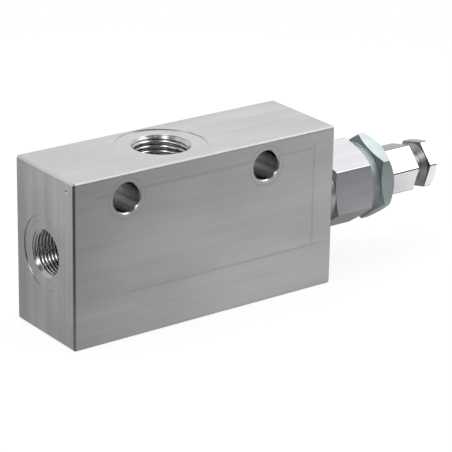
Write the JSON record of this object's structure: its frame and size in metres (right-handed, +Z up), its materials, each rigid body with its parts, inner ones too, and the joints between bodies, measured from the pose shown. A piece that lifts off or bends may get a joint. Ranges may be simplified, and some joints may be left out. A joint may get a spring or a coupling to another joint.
{
  "type": "hydraulic equalising valve",
  "caption": "Counterbalance valve: ported aluminium block with a screw-in relief and check cartridge, lock nut and hexagon adjusting screw.",
  "frame": {"origin": "centre of the block's underside", "axes": "+X along the cartridge towards the adjusting screw, +Z up towards the load port"},
  "size_m": [0.1679, 0.036, 0.06],
  "materials": {
    "block_aluminium": "sawn and milled, satin, fine lengthwise grain",
    "zinc_plated_housing": "bright zinc plate, satin",
    "zinc_plated_nut": "blue-green passivated zinc plate",
    "bright_screw_steel": "bright zinc plate, glossy",
    "cartridge_steel": "turned",
    "hardened_steel": "hardened and ground",
    "spring_steel": "oiled spring wire",
    "bearing_steel": "polished",
    "seal_rubber": "nitrile rubber, matt",
    "backup_plastic": "smooth, slightly waxy"
  },
  "bodies": {
    "body": {"valve_body": "block_aluminium", "cartridge_housing": "zinc_plated_housing", "housing_seal": "seal_rubber", "cartridge_sleeve": "cartridge_steel", "nose_guide": "cartridge_steel", "check_spring": "spring_steel", "main_spring": "spring_steel", "pilot_orifice": "cartridge_steel", "nose_land_seal": "seal_rubber", "nose_backup_ring_left": "backup_plastic", "nose_backup_ring_right": "backup_plastic", "middle_land_seal": "seal_rubber", "middle_backup_ring_left": "backup_plastic", "middle_backup_ring_right": "backup_plastic", "rear_land_seal": "seal_rubber", "rear_backup_ring_left": "backup_plastic", "rear_backup_ring_right": "backup_plastic"},
    "piston": {"relief_piston": "hardened_steel", "relief_piston_seal": "seal_rubber", "thrust_ball": "bearing_steel", "lower_spring_plate": "cartridge_steel"},
    "pilot": {"pilot_piston": "hardened_steel", "pilot_piston_seal": "seal_rubber"},
    "check": {"check_seat": "hardened_steel", "check_seat_seal": "seal_rubber"},
    "spring_seat": {"upper_spring_plate": "cartridge_steel"},
    "adjuster": {"adjusting_screw": "bright_screw_steel"},
    "nut_seal": {"lock_nut_seal": "seal_rubber"},
    "nut": {"lock_nut": "zinc_plated_nut"}
  },
  "joints": [
    {"name": "piston_slide", "type": "slide", "parent": "body", "child": "piston", "axis": [1, 0, 0], "range_m": [0, 0.0025], "stiffness_N_per_m": 1500, "springref_m": -0.003, "deforming": ["main_spring"]},
    {"name": "pilot_slide", "type": "slide", "parent": "body", "child": "pilot", "axis": [1, 0, 0], "range_m": [-0.0001, 0.0026]},
    {"name": "check_slide", "type": "slide", "parent": "body", "child": "check", "axis": [-1, 0, 0], "range_m": [0, 0.0025], "stiffness_N_per_m": 250, "springref_m": -0.003, "deforming": ["check_spring"]},
    {"name": "spring_seat_slide", "type": "slide", "parent": "body", "child": "spring_seat", "axis": [-1, 0, 0], "range_m": [-0.0015, 0.003], "deforming": ["main_spring"]},
    {"name": "adjuster_turn", "type": "hinge", "parent": "spring_seat", "child": "adjuster", "pos_m": [0.0953, 0, 0.03], "axis": [-1, 0, 0], "range_deg": [-365, 725]},
    {"name": "nut_seal_slide", "type": "slide", "parent": "body", "child": "nut_seal", "axis": [1, 0, 0], "range_m": [0, 0.003]},
    {"name": "lock_nut_turn", "type": "hinge", "parent": "nut_seal", "child": "nut", "pos_m": [0.0834, 0, 0.03], "axis": [1, 0, 0], "range_deg": [-5, 725]}
  ],
  "couplings": [
    {"joint": "pilot_slide", "follows": "piston_slide", "ratio": 1},
    {"joint": "adjuster_turn", "follows": "spring_seat_slide", "rad_per_m": 4188.8},
    {"joint": "lock_nut_turn", "follows": "nut_seal_slide", "rad_per_m": 4188.8}
  ]
}
